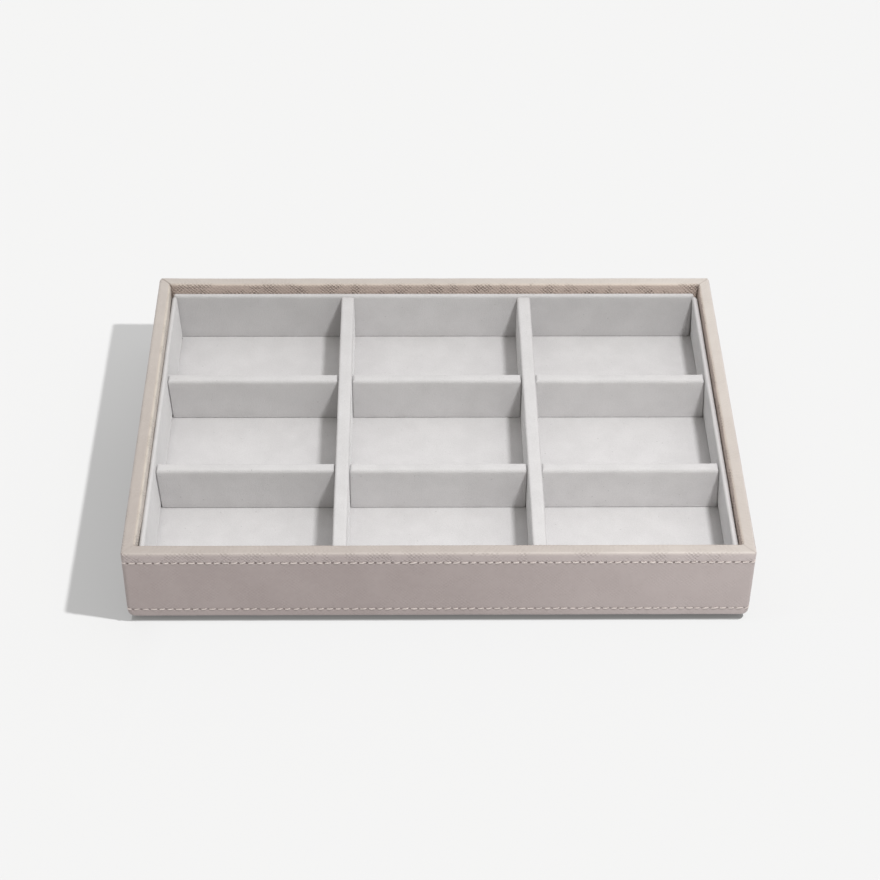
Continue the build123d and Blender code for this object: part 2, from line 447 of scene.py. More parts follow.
def build_groups():
    """The effects that several materials share.

    mottle: broad soft patches and a finer layer over them, as a mask about 0.5.
    nap: short pile that leans one way or the other in patches, with single dark tufts.
    flecks: fine fibres drawn out along one direction."""
    group, (vector, broad_scale, fine_scale, share), result = new_group(
        "mottle", (("Vector", "Vector", None), ("Broad", "Float", 40.0), ("Fine", "Float", 400.0),
                   ("Fine share", "Float", 0.3)), (("Mask", "Float"),))
    broad = noise(group, vector, broad_scale)
    fine = noise(group, vector, fine_scale, 3.0)
    join(group, (fine - broad) * share + broad, result["Mask"])

    group, (vector, light, lying, patch_size, tuft_size), result = new_group(
        "nap", (("Vector", "Vector", None), ("Light", "Color", None), ("Lying", "Color", None),
                ("Patch size", "Float", 0.012), ("Tuft size", "Float", 0.0006)),
        (("Color", "Color"), ("Height", "Float")))
    patches = noise(group, vector, 1.0 / patch_size, 3.0, 0.6)
    tuft_scale = 1.0 / tuft_size
    tufts = noise(group, vector, tuft_scale, 2.0, 0.6)
    specks = noise(group, vector, tuft_scale * 0.45, 1.0)
    lean = patches.between(0.3, 0.7, 0.0, 0.4) + tufts.between(0.25, 0.75, 0.0, 0.6)
    base = blend(group, lean, lying, light)
    dimmed = blend(group, 0.32, base, (0.1, 0.1, 0.1))
    join(group, blend(group, specks.between(0.26, 0.20), base, dimmed), result["Color"])
    join(group, patches * 0.4 + tufts, result["Height"])

    group, (vector, light, dark, size), result = new_group(
        "flecks", (("Vector", "Vector", None), ("Light", "Color", None), ("Dark", "Color", None),
                   ("Size", "Float", 0.0008)), (("Color", "Color"), ("Height", "Float")))
    stretched = made(group, "Mapping", {"Vector": vector, "Scale": (0.3, 1, 1.6)})
    fibres = noise(group, stretched, 1.0 / size, 4.0, 0.65)
    join(group, blend(group, fibres.between(0.3, 0.7), dark, light), result["Color"])
    join(group, fibres, result["Height"])


def leatherette_material(settings, stitches, row_pitch):
    """Grain of two families of diagonal lines, needle holes along the stitch rows, and mitre folds;
    the holes and folds are darkened as painted shade.

    A family's height is a triangle wave of the distance across its lines, bent by noise. It is read
    from the skin map, whose U runs round the tray and V up the strip, both in metres. The grain is clear
    in some patches and flat in others, and clearest inside. As painted light, the colour is lighter to the
    right and the back, and tinted inside, on the rim and on the left inside face. The holes are shallower
    in the lower row."""
    material, tree, shader, here = new_material("grained_leatherette")
    skin = made(tree, "UVMap", uv_map="skin")
    plain, inner, rim, left, painted_light_and_shade, fold = painted(tree, "plain", "inner", "rim", "left", "painted_light_and_shade", "fold")
    pitch = settings.grain_pitch
    bend = (noise(tree, skin, 700.0) - 0.5) * pitch
    families = []
    for degrees in (45, -45):
        turned = made(tree, "Mapping", {"Vector": skin, "Rotation": (0, 0, np.radians(degrees))})
        across = made(tree, "SeparateXYZ", {0: turned})
        families.append((across + bend).step("PINGPONG", pitch / 2) * (2 / pitch))
    crossed = families[0] * families[1]
    raised = most(*families)
    grain = (crossed - raised) * 0.45 + raised
    strength = most(noise(tree, skin, 150.0).between(0.40, 0.60, 0.10, 1.0), inner * 0.35)
    kept = strength * (1.0 - plain) * (inner * 0.55 + 1.0)
    flat_level = 0.55
    level = (grain - flat_level) * kept + flat_level

    u, v, _ = parts(tree, "SeparateXYZ", {0: skin})
    beside = u.step("PINGPONG", row_pitch / 2)
    above = least(abs(v - stitches.upper_height), abs(v - stitches.lower_height))
    reach = (beside * beside + above * above).step("SQRT")
    hole_edge, hole_middle = 0.00062, 0.00030
    hole = reach.between(hole_edge, hole_middle) * v.between(0.01, 0.03, 0.4, 0.8)

    mottle, = placed(tree, "mottle", {"Vector": skin, "Broad": 55.0, "Fine": 420.0, "Fine share": 0.35})
    # The tone takes the painted light and shade that the mesh carries
    tone = level + painted_light_and_shade + mottle.between(0.3, 0.7, -0.07, 0.07)
    x, y, _ = parts(tree, "SeparateXYZ", {0: here})
    # Painted light: the colour is lighter towards the right, less so on the rim, and towards the back
    rightwards = x.between(-0.02, 0.115, 0.0, 0.42) * (rim * -0.45 + 1.0)
    backwards = y.between(-0.09, 0.09, -0.14, 0.22)
    colour = blend(tree, tone + (rightwards + backwards), settings.shade, settings.colour)
    # Painted light: tints on the inside faces, the rim top and the lit left inside face
    for place, tint in ((inner, (0.95, 0.885, 0.80)), (rim, (0.995, 1.04, 0.98)),
                        (left, (0.96, 0.99, 0.92))):
        colour = blend(tree, place, colour, tint, "MULTIPLY")
    # Painted shade: the fold grooves, crumples and needle holes are darkened in colour
    fold_shade, hole_shade = (0.16, 0.12, 0.10), (0.13, 0.085, 0.075)
    colour = blend(tree, fold * 0.75, colour, fold_shade)
    colour = blend(tree, hole * 0.8, colour, hole_shade)
    feed(tree, shader, Base_Color=colour, Roughness=level.between(0.2, 0.9, 0.62, 0.50),
         Normal=bump(tree, 1.0, 0.00035, hole * -2.4 + level), Specular_IOR_Level=0.45)
    return material


def thread_material(settings):
    """Two plies wound round each other: a slanted triangle wave of the distances along and round. The
    colour darkens towards the grooves between the plies as painted shade, over a random tone.
    """
    material, tree, shader, here = new_material("thread")
    ply_width = 0.00022
    u, v, _ = parts(tree, "SeparateXYZ", {0: made(tree, "UVMap", uv_map="skin")})
    ply = (v * 0.8 + u).step("PINGPONG", ply_width) * (1 / ply_width)
    # Painted shade: the colour darkens towards the grooves between the plies, over a random tone
    light = noise(tree, here, 5000.0) * 0.5 + ply * 0.6
    dark = tuple(0.62 * part for part in settings.colour)
    feed(tree, shader, Base_Color=blend(tree, light, dark, settings.colour),
         Roughness=light.between(0.0, 1.0, 0.75, 0.55), Normal=bump(tree, 0.6, 0.00008, light),
         Sheen_Weight=0.15)
    return material


def velvet_material(name, colour, shade):
    """Short flocked pile: the nap group's colour, its height as a fine bump, and a soft sheen.

    Painted shade darkens it down where a cover meets what it stands on, and a little along rounded tops;
    painted light makes the faces of some covers lighter or darker as a whole."""
    material, tree, shader, here = new_material(name)
    painted_shade, face_painted_light = painted(tree, "painted_shade", "face_painted_light")
    nap, height = placed(tree, "nap", {"Vector": here, "Light": colour, "Lying": shade,
                                       "Patch size": 0.011, "Tuft size": 0.0005})
    # Painted light and shade: the nap's colour is scaled by the face painted light mask
    nap = made(tree, "VectorMath", {0: nap, "Scale": face_painted_light + 1.0}, operation="SCALE")
    # Painted shade: the velvet is blended towards near black where the painted shade mask is strong
    feed(tree, shader, Base_Color=blend(tree, painted_shade, nap, (0.08, 0.075, 0.07)),
         Roughness=height.between(0.4, 1.0, 0.95, 0.82), Normal=bump(tree, 0.5, 0.00025, height),
         Specular_IOR_Level=0.25, Sheen_Weight=0.75, Sheen_Roughness=0.3)
    return material


def fibre_material(name, colour, shade, size):
    """Pressed fibres: the flecks group's colour with broad patches over it."""
    material, tree, shader, here = new_material(name)
    flecks, height = placed(tree, "flecks", {"Vector": here, "Light": colour, "Dark": shade, "Size": size})
    mottle, = placed(tree, "mottle", {"Vector": here, "Broad": 60.0, "Fine": 900.0, "Fine share": 0.2})
    feed(tree, shader, Base_Color=blend(tree, mottle.between(0.3, 0.7, 0.0, 0.25), flecks, shade),
         Roughness=height.between(0.2, 0.8, 0.9, 0.75), Normal=bump(tree, 0.4, 0.0002, height))
    return material


# Rows of the leatherette's section, in metres: beside a row of stitches, and inside below the rim
BESIDE_STITCHES = np.array((-1.6, -0.9, -0.4, 0, 0.4, 0.9, 1.6)) / 1000
BELOW_RIM = np.array((1.3, 2.0, 2.8, 3.6, 4.6, 6.2, 9.0, 12.5)) / 1000
HIDDEN_CORNER = 0.00005


def skin_profile(settings, stitches, foot_round):
    """Rows of the closed section of the strip: inset, corner radius, height, and the way out.

    From the cut edge beside the foot it runs out under the boards, up the skirt, over the rim and
    down inside, then back along the boards one thickness further in."""
    radius, inner_corner = settings.corner_radius, settings.inner_corner
    outer, inner, lower = settings.rim_outer_round, settings.rim_inner_round, settings.skirt_round
    window = half_width - foot_high.x - settings.foot_gap
    window_radius = foot_round + settings.foot_gap

    def loose_radius(height):
        """The corner is looser near the skirt's lower edge and tighter near the rim.

        It goes by the square of the way down the last 5 mm, and up the last 8 mm."""
        return (radius + settings.corner_slack * np.clip(1 - (height - bottom) / 0.005, 0, 1) ** 2
                - settings.rim_tightness * np.clip(1 - (top - height) / 0.008, 0, 1) ** 2)

    rows = []
    lower_radius = radius + settings.corner_slack - lower
    for share in np.linspace(0, 1, 5)[:-1]:
        rows.append((window + share * (lower - window),
                     window_radius + share * (lower_radius - window_radius), bottom, 0, -1))
    for sine, cosine in arc(6):
        inset, height = lower * (1 - sine), bottom + lower * (1 - cosine)
        rows.append((inset, loose_radius(height) - inset, height, sine, -cosine))
    heights = np.concatenate([(bottom + lower + 0.0006,), stitches.lower_height + BESIDE_STITCHES,
                              np.linspace(stitches.lower_height + 0.0035, stitches.upper_height - 0.0035, 6),
                              stitches.upper_height + BESIDE_STITCHES,
                              (top - outer - 0.0012, top - outer - 0.0005)])
    rows += [(0, loose_radius(height), height, 1, 0) for height in heights]
    for sine, cosine in arc(7)[1:]:
        inset, height = outer * (1 - cosine), top - outer * (1 - sine)
        rows.append((inset, loose_radius(height) - inset, height, cosine, sine))
    flat_radius = radius - settings.rim_tightness - outer
    for share in np.linspace(0, 1, 8)[1:]:
        rows.append((outer + share * (rim_width - inner - outer),
                     flat_radius + share * (inner_corner + inner - flat_radius), top, 0, 1))
    for sine, cosine in arc(6)[1:]:
        rows.append((rim_width - inner * (1 - sine), inner_corner + inner * (1 - sine),
                     top - inner * (1 - cosine), -sine, cosine))
    rows += [(rim_width, inner_corner, top - depth, -1, 0) for depth in (*BELOW_RIM, settings.turn_down)]
    back, under, over = rim_width - skin_thickness, bottom + skin_thickness, top - skin_thickness
    rows += [(back, HIDDEN_CORNER, top - settings.turn_down, 0, 0), (back, HIDDEN_CORNER, over, 0, 0),
             (skin_thickness, radius - skin_thickness, over, 0, 0),
             (skin_thickness, radius - skin_thickness, under, 0, 0), (window, window_radius, under, 0, 0)]
    return np.array(rows, float)


class TRAY_OT_leatherette(bpy.types.Operator):
    """Wraps the boards in one leatherette strip, with mitre folds at the rim corners"""
    bl_idname = "tray.leatherette"
    bl_label = "Leatherette"

    def execute(self, context):
        """Columns stand round the skirt from the middle of the back, more closely at the corners. On the
        skin map, V is a point's height on the skirt, and runs on from there along the section."""
        settings = context.scene.tray_leatherette
        stitches = context.scene.tray_stitches
        per_x, per_y, per_corner = 290, 208, 20
        counts = loop_marks(per_x, per_y, per_corner)
        lengths = skirt_marks(settings.corner_radius)
        first = per_y // 2 + per_corner + per_x // 2
        distance = np.interp((np.arange(int(counts[-1])) + first) % int(counts[-1]), counts, lengths)
        round_length = lengths[-1]
        u = (distance - distance[0]) % round_length
        places = loop_places(distance, lengths)
        out_x, out_y = places[2:]

        rows = skin_profile(settings, stitches, context.scene.tray_velvet.foot_round)
        inset, corner, height, level_out, level_up = rows.T[..., None]
        x, y = contour(places, half_width - inset, half_depth - inset, corner)
        pitch = round_length / stitches.count
        push = self.unevenness(settings, stitches, u / round_length, y, height, out_x, level_out, level_up)
        mitre, fold = self.mitre(settings.fold_step, x, y, height, level_out, level_up)
        push = push + mitre
        points = np.stack([x + push * level_out * out_x, y + push * level_out * out_y,
                           height + push * level_up], -1).reshape(-1, 3)

        closed = np.concatenate([rows, rows[:1]])
        v = np.append(0, np.cumsum(np.hypot(np.diff(closed[:, 0]), np.diff(closed[:, 2]))))
        on_skirt = np.argmin(np.abs(rows[:, 2] - 0.0100) + 10 * rows[:, 0])
        v = v - v[on_skirt] + rows[on_skirt, 2]
        below_seam = height < stitches.upper_height - 0.0005
        masks = self.tones(height, level_out, level_up, out_x, below_seam)
        piece = make_piece("leather_cover", points, grid_quads(len(rows), len(u), True, True),
                           leatherette_material(settings, stitches, pitch),
                           uv=grid_uv(v, np.append(u, round_length)),
                           masks={name: mask + 0 * u for name, mask in {"fold": fold, **masks}.items()})
        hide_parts("outer_wrap")
        return {"FINISHED"}

    def unevenness(self, settings, stitches, turn, y, height, out_x, level_out, level_up):
        """How far the strip is pushed out: waviness, the channels of the stitches, and the belly.

        The waviness is a sum of sines round the tray that shift with height. A channel is a bell curve
        of the height, deepest at the needle holes. The strip stands off the left board inside by a
        half sine of the depth, most at the height of the velvet wall's top, and not near the corners."""
        channel_width, channel_depth, hole_depth, belly_depth = 0.0006, 0.00010, 0.00005, 0.0095
        wave = sum(np.sin(2 * np.pi * number * turn + number * number + height * 130 * (number % 5 - 2)) / 6
                   for number in (5, 11, 17, 26, 37, 53))
        push = settings.waviness * wave * (np.abs(level_out) + np.abs(level_up) > 0)
        holes = np.cos(2 * np.pi * turn * stitches.count)
        for row_height in (stitches.upper_height, stitches.lower_height):
            channel = bell(height - row_height, channel_width) * (level_out > 0.5)
            push = push - channel * (channel_depth + hole_depth * holes)
        off_board = np.sin(np.pi * np.clip((top - height) / belly_depth, 0, 1)) * (level_out < -0.9)
        along = np.clip((half_depth - np.abs(y)) / 0.02 - 0.3, 0, 1)
        return push + settings.belly * off_board * np.clip(-out_x, 0, 1) ** 8 * along

    def mitre(self, fold_step, x, y, height, level_out, level_up):
        """The push, and the mask of painted shade along the grooves and crumples of the mitre folds.

        Across the diagonal of each rim corner the strip steps by tanh of the distance beside it, and a
        groove runs along it, a bell curve that is deepest at the inner corner. Inside, the strip crumples
        by a sine, and under the tray it gathers by another. Some corners are folded more neatly."""
        back_left, back_right, front_left, front_right = 1.0, 0.6, 0.15, 0.5
        bow_size, step_width, overlap_width = 0.00022, 0.00018, 0.006
        groove_width, groove_depth, inner_groove_depth = 0.00022, 0.00010, 0.00030
        crumple_width, crumple_depth, gather_width, gather_height = 0.0016, 0.00020, 0.0035, 0.00008
        loose = np.where(y > 0, np.where(x < 0, back_left, back_right),
                         np.where(x < 0, front_left, front_right))
        from_x = half_width - np.abs(x)
        from_y = half_depth - np.abs(y)
        along = np.clip((from_x + from_y) / 2 / rim_width, 0, 1.6)
        bow = bow_size * np.sin(np.pi * np.clip(along, 0, 1)) * np.sign(x * y)
        beside = (from_x - from_y) / np.sqrt(2) + bow
        on_rim = np.clip((height - (top - 0.0022)) / 0.0012, 0, 1) * (level_out + level_up != 0)
        inside = np.clip((along - 0.72) / 0.3, 0, 1) * (height > top - 0.0075) * (level_out <= 0)
        faces_up = level_up > 0.3
        groove = bell(beside, groove_width)
        overlap = np.tanh(beside / step_width) * bell(beside, overlap_width) * faces_up
        crumple = bell(beside, crumple_width) * (level_out < -0.5) * (height > top - 0.007)
        crumple = crumple * (0.5 + 0.5 * np.sin(beside * 6000 + height * 2600))
        gathers = bell(beside, gather_width) * (level_up < -0.9) * np.sin(beside * 5200)
        push = (loose * fold_step / 2 * overlap * on_rim
                - loose * groove * (groove_depth * on_rim * faces_up + inner_groove_depth * inside)
                + gather_height * gathers - crumple_depth * crumple)
        painted_shade = loose * groove * (0.7 * on_rim * (level_up > 0.2) + 0.8 * inside) + 0.7 * crumple
        return push, np.clip(painted_shade, 0, 1)

    def tones(self, height, level_out, level_up, out_x, below_seam):
        """Masks for the material: where the grain is plain, the rim, the inside, and the painted light and
        shade added to the tone: the skirt and rim top darker, and inside, the left and right faces lighter
        further down."""
        plain_skirt, plain_edge, plain_rim = 0.85, 0.3, 0.75
        # Painted light and shade added to the tone: skirt and rim top darker, left and right inside faces
        # lighter
        skirt_painted_shade, rim_painted_shade, left_painted_light, right_painted_light = -0.3, -0.25, 0.85, 0.3
        upright, level = level_out > 0.9, level_up > 0.9
        to_left, to_right = np.clip(-6 * out_x - 5, 0, 1), np.clip(6 * out_x - 5, 0, 1)
        left_inside = (level_out < -0.1) * np.clip((top - height) / 0.0008, 0, 1) * to_left
        right_inside = (level_out < -0.3) * np.clip((top - height - 0.0010) / 0.003, 0, 1) * to_right
        return {"plain": np.where(upright, np.where(below_seam, plain_skirt, plain_edge),
                                  np.where(level, plain_rim, plain_edge * (level_out > 0))),
                "rim": np.clip(level_up, 0, 1),
                "inner": np.clip(-level_out, 0, 1) * (1 - left_inside),
                "left": left_inside,
                "painted_light_and_shade": (np.where(upright & below_seam, skirt_painted_shade, np.where(level, rim_painted_shade, 0))
                         + left_painted_light * left_inside + right_painted_light * right_inside)}


class TRAY_OT_stitching(bpy.types.Operator):
    """Sews two rows of stitches round the skirt"""
    bl_idname = "tray.stitching"
    bl_label = "Stitching"

    def execute(self, context):
        settings = context.scene.tray_stitches
        radius = context.scene.tray_leatherette.corner_radius
        material = thread_material(settings)
        for name, row_height, seed in (("upper_stitching", settings.upper_height, 3),
                                       ("lower_stitching", settings.lower_height, 8)):
            points, quads, uv = self.row(settings, radius, row_height, seed)
            make_piece(name, points, quads, material, uv=uv, smooth_below=80)
        return {"FINISHED"}

    def row(self, settings, radius, row_height, seed):
        """Stitches as bent tubes. The middle line rises out of its first hole and dips into the next
        by a sine to the power 0.6, slants by a few tenths of a millimetre, and keeps its place round
        the corners. The tube is an ellipse round that line, narrow at both ends."""
        lengths = skirt_marks(radius)
        pitch = lengths[-1] / settings.count
        middle_of_back = lengths[2] + half_width - radius
        chance = np.random.default_rng(seed)
        rings, sides = 7, 6
        place_spread, sunk, risen = 0.00010, 0.00022, 0.00030
        order = np.arange(settings.count)[:, None, None]
        share = np.linspace(0, 1, rings)[None, :, None]
        angle = (np.arange(sides) * 2 * np.pi / sides)[None, None, :]
        loose = chance.normal(0, 1, (4, settings.count, 1, 1))
        length = settings.stitch_length * (1 + settings.spread * loose[0])
        middle = (order + 0.5) * pitch + place_spread * loose[1]
        rise = np.sin(np.pi * share) ** 0.6
        half_thread = settings.thread / 2 * (1 + settings.spread * loose[3]) * (0.55 + 0.45 * rise)
        proud = -sunk + risen * rise + 0.8 * half_thread * np.sin(angle)
        slant = settings.slant + settings.slant_spread * loose[2]
        height = row_height + (share - 0.5) * slant + half_thread * np.cos(angle)
        distance = (middle + (share - 0.5) * length + middle_of_back) % lengths[-1] + 0 * angle
        x, y = contour(loop_places(distance, lengths), half_width + proud, half_depth + proud, radius + proud)
        points = np.stack([x, y, height], -1).reshape(-1, 3)

        last = (rings - 1) * sides
        ends = np.array([np.arange(sides), last + np.arange(sides)[::-1]])
        caps = ends[:, [[0, 1, 2, 3], [0, 3, 4, 5]]].swapaxes(0, 1).reshape(-1, 4)
        one = np.concatenate([grid_quads(rings, sides, close_columns=True), caps])
        quads = (one[None] + (np.arange(settings.count) * rings * sides)[:, None, None]).reshape(-1, 4)
        round_way = np.arange(sides + 1) * np.pi * settings.thread / sides
        tube_uv = grid_uv(np.linspace(0, 1, rings) * settings.stitch_length, round_way)[..., ::-1]
        tube_uv = np.concatenate([tube_uv, np.zeros((4, 4, 2))])
        return points, quads, np.tile(tube_uv[None], (settings.count, 1, 1, 1)).reshape(-1, 4, 2)


# The velvet's foot turns in over this many times the tuck, in steps of inset and height in tucks
TUCK_RISE = 2.2
TUCK_STEPS = ((1.0, 0.0), (0.4, 0.45), (0.12, 1.1), (0.0, TUCK_RISE))


def cover_rings(size, cover, rounds, tuck):
    """Rings of a velvet cover: inset, corner radius, height, and whether they are outside.

    They go from the core's top down its sides, under the cut edge, which is tucked in, up the outside
    and over the rounded top: inset r(1 - cos a), height top - 1.4 r(1 - sin a)."""
    length, thickness, height = size
    top_round, end_round = rounds
    drop = min(1.4 * top_round, 0.6 * height)
    sharp = 0.00004
    rings = [(cover, sharp, height - cover, 0.0), (cover, sharp, 0.0, 0.0)]
    rings += [(tuck * share, end_round, tuck * level, 1.0) for share, level in TUCK_STEPS]
    rings += [(0.0, end_round, level, 1.0) for level in np.linspace(TUCK_RISE * tuck, height - drop, 8)[1:]]
    for sine, cosine in arc(7)[1:]:
        inset = top_round * (1 - cosine)
        rings.append((inset, max(end_round - inset, sharp), height - drop * (1 - sine), 1.0))
    inner = min(thickness, length) / 2 - top_round
    rings += [(top_round + inner * share, sharp, height, 1.0) for share in (0.45, 0.85)]
    return np.array(rings)


def velvet_shell(base, size, cover, rounds, seed, columns, tuck, unevenness, slants=(0.0, 0.0), puff=0.0,
                 face_painted_light=0.0):
    """Points, quads, triangles and masks of a closed velvet cover round a core, open at its foot.

    base is its origin and three directions; size its length, thickness and height; rounds the radii
    along its top and at its upright edges. The last ring is bridged across the board, between columns
    that mirror each other in Y. The outside wanders by a few hundredths of a millimetre. An end with a
    slant tips towards low X by that much at the top. Where puff isn't 0, the side towards its sign
    stands out by it from 1 to 6 mm below the top, and less down to 9 mm. The painted shade mask is strong
    at the tuck and faint on the rounded top; the painted light mask lightens or darkens the sides by thirds."""
    origin, along_axis, across_axis, up_axis = (np.array(part, float) for part in base)
    length, thickness, height = size
    half_l, half_t = length / 2, thickness / 2
    inset, corner, level, outside = cover_rings(size, cover, rounds, tuck).T[..., None]
    marks = loop_marks(*columns)
    places = loop_places(np.arange(int(marks[-1])), marks)
    x, y = contour(places, half_l - inset, half_t - inset, corner)
    z = np.repeat(level, x.shape[1], 1)
    wander = unevenness * np.clip(level / height * 5, 0, 1) * outside * ripple(z, x + 3 * y, seed)
    end_reach, puff_start, puff_fade, tuck_shade, top_shade = 0.004, 0.0005, 0.003, 0.85, 0.06
    near_end = np.clip((half_l - np.abs(x)) / end_reach, 0.25, 1)
    side = np.clip((height - z) / rounds[0], 0, 1)
    x = x + wander * side * places[2] * 0.4
    y = y + wander * side * places[3]
    z = z + (1 - side) * near_end * 0.5 * unevenness * (ripple(0 * z, x, seed + 50) - 1) * outside
    below = height - z
    band = np.clip((below - puff_start) / 0.0008, 0, 1) * np.clip(3 - below / puff_fade, 0, 1)
    y = y + puff * outside * (y * puff > 0) * band
    low_share = np.clip(0.5 - x / length, 0, 1)
    x = x - z / height * (slants[0] * low_share + slants[1] * (1 - low_share))
    points = (origin + x[..., None] * along_axis + y[..., None] * across_axis
              + z[..., None] * up_axis).reshape(-1, 3)

    count = x.shape[1]
    number = np.arange(1, count // 2 - 1)
    last = len(x) * count - count
    bridges = np.stack([number, number + 1, count - number - 1, count - number], -1)
    ends = np.array([[0, 1, count - 1], [count // 2, count // 2 + 1, count // 2 - 1]])
    quads = np.concatenate([grid_quads(len(x), count, close_columns=True), bridges[:, ::-1], bridges + last])
    triangles = np.concatenate([ends[:, ::-1], ends + last])
    # Painted shade: darker at the tuck where the cover meets what it stands on, and a little on the rounded
    # top
    painted_shade = outside * np.maximum(tuck_shade * np.clip(1 - level / (TUCK_RISE * tuck), 0, 1),
                                  top_shade * (1 - side))
    # Painted light and shade: the sides are made lighter or darker, by thirds along X
    thirds = np.interp(x / half_l, (-0.36, -0.32, 0.32, 0.36), np.broadcast_to(face_painted_light, 3)[[0, 1, 1, 2]])
    return points, quads, triangles, {"painted_shade": painted_shade, "face_painted_light": outside * side * thirds}


def insert_velvet(settings):
    """The insert's velvet, made once."""
    return (bpy.data.materials.get("insert_velvet")
            or velvet_material("insert_velvet", settings.colour, settings.shade))


def cover_board(name, node, base, size, settings, rounds, seed, columns=None, material=None, slot="velvet",
                **cut):
    """A velvet cover that takes the place of a solid."""
    column_step = 0.0022
    columns = columns or (int(size[0] / column_step) // 2 * 2, 4, 6)
    cut = {"tuck": settings.tuck, "unevenness": settings.unevenness,
           "face_painted_light": FACE_PAINTED_LIGHT.get(node.removesuffix("_velvet"), 0.0), **cut}
    points, quads, triangles, masks = velvet_shell(base, size, settings.thickness, rounds, seed, columns,
                                                   **cut)
    piece = make_piece(name, points, quads, material or insert_velvet(settings), triangles=triangles,
                       masks=masks, smooth_below=50)
    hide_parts(node)


def cover_upright(node, settings, rounds, seed, slants=(0.0, 0.0)):
    """A velvet cover for a standing board whose box lies along X or Y.

    Its box reaches over to the slanted end's top at the low side."""
    low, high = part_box(node + "_velvet")
    low.x += slants[0]
    size = high - low
    origin = ((low.x + high.x) / 2, (low.y + high.y) / 2, low.z)
    if size.x > size.y:
        axes, length, thickness = ((1, 0, 0), (0, 1, 0)), size.x, size.y
    else:
        axes, length, thickness = ((0, 1, 0), (-1, 0, 0)), size.y, size.x
    cover_board(node + "_cover", node + "_velvet", (origin, *axes, (0, 0, 1)), (length, thickness, size.z),
                settings, rounds, seed, slants=slants)


class TRAY_OT_inner_walls(bpy.types.Operator):
    """Covers the four inner walls in velvet; the side walls tip to the left"""
    bl_idname = "tray.inner_walls"
    bl_label = "Inner walls"

    def execute(self, context):
        """A side wall turns about its lower left edge, which is a thickness from its box's right side."""
        settings = context.scene.tray_velvet
        for seed, node in enumerate(LONG_WALLS, 20):
            cover_upright(node, settings, (settings.wall_round,) * 2, seed)
        tall, lean, thick = settings.wall_height, settings.side_lean, settings.side_wall_thickness
        rise = np.sqrt(tall ** 2 - lean ** 2)
        up = np.array((-lean, 0, rise)) / tall
        across = np.array((-rise, 0, -lean)) / tall
        for seed, (node, puff) in enumerate(zip(SIDE_WALLS, settings.puff), 30):
            low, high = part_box(node + "_velvet")
            edge = np.array((high.x - thick * rise / tall, 0, floor_high.z))
            cover_board(node + "_cover", node + "_velvet", (edge - across * thick / 2, (0, 1, 0), across, up),
                        (high.y - low.y - 2 * settings.corner_gap, thick, tall), settings,
                        (settings.side_wall_round,) * 2, seed, puff=puff, tuck=settings.side_tuck)
        return {"FINISHED"}


class TRAY_OT_dividers(bpy.types.Operator):
    """Covers the two long and six cross dividers in velvet"""
    bl_idname = "tray.dividers"
    bl_label = "Dividers"

    def execute(self, context):
        settings = context.scene.tray_velvet
        for seed, node in enumerate(LONG_DIVIDERS + CROSS_DIVIDERS, 40):
            low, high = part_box(node + "_velvet")
            slant = settings.side_lean * (high.z - low.z) / settings.wall_height
            slants = (slant * ("left_cross" in node), slant * ("right_cross" in node))
            rounds = (settings.divider_round,) * 2
            if node in CROSS_DIVIDERS:
                rounds = (settings.cross_round, settings.cross_end_round)
            cover_upright(node, settings, rounds, seed, slants)
        return {"FINISHED"}


class TRAY_OT_floor_velvet(bpy.types.Operator):
    """Lays the velvet sheet that all nine compartments share"""
    bl_idname = "tray.floor_velvet"
    bl_label = "Floor velvet"

    def execute(self, context):
        """The sheet's top is a grid whose height wanders by sine waves; its underside lies flat."""
        settings = context.scene.tray_velvet
        columns, rows = 121, 86
        x, y = np.meshgrid(np.linspace(floor_low.x, floor_high.x, columns),
                           np.linspace(floor_low.y, floor_high.y, rows), indexing="xy")
        upper = floor_high.z + 0.25 * settings.unevenness * (ripple(y, x, 77) - 1)
        points = np.concatenate([np.stack([x, y, z], -1).reshape(-1, 3)
                                 for z in (upper, 0 * x + floor_low.z)])
        faces = grid_quads(rows, columns)
        number = np.arange(rows * columns).reshape(rows, columns)
        edge = np.concatenate([number[0, :-1], number[:-1, -1], number[-1, :0:-1], number[:0:-1, 0]])
        after = np.roll(edge, -1)
        under = rows * columns
        sides = np.stack([edge, edge + under, after + under, after], -1)
        quads = np.concatenate([faces, faces[:, ::-1] + under, sides])
        piece = make_piece("floor_velvet_sheet", points, quads, insert_velvet(settings))
        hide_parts("floor_velvet")
        return {"FINISHED"}


class TRAY_OT_foot(bpy.types.Operator):
    """Covers the raised foot in velvet"""
    bl_idname = "tray.foot"
    bl_label = "Foot"

    def execute(self, context):
        """The foot is a cover turned over, with its rounded top on the surface that the tray stands on."""
        settings = context.scene.tray_velvet
        unevenness = 0.00004
        base = ((0, 0, foot_high.z), (1, 0, 0), (0, -1, 0), (0, 0, -1))
        cover_board("foot_cover", "plinth_cover", base, tuple(foot_high - foot_low), settings,
                    (settings.foot_edge, settings.foot_round), 60, columns=(80, 56, 8),
                    material=velvet_material("foot_nap", settings.foot_colour, settings.foot_shade),
                    slot="foot_velvet", unevenness=unevenness)
        return {"FINISHED"}


class TRAY_OT_boards(bpy.types.Operator):
    """Gives the boards and cards inside their pressed fibres"""
    bl_idname = "tray.boards"
    bl_label = "Boards and cards"

    def execute(self, context):
        settings = context.scene.tray_boards
        fibreboard = fibre_material("fibreboard", settings.board_colour, settings.board_shade, 0.0012)
        greyboard = fibre_material("greyboard", settings.card_colour, settings.card_shade, 0.0007)
        cores = tuple(node + "_core" for node in LONG_WALLS + SIDE_WALLS + LONG_DIVIDERS + CROSS_DIVIDERS)
        for nodes, material in ((RIM_BOARDS, fibreboard), (cores + ("floor_card",), greyboard)):
            for node in nodes:
                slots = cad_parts[node].data.materials
                slots.clear()
                slots.append(material)
        return {"FINISHED"}


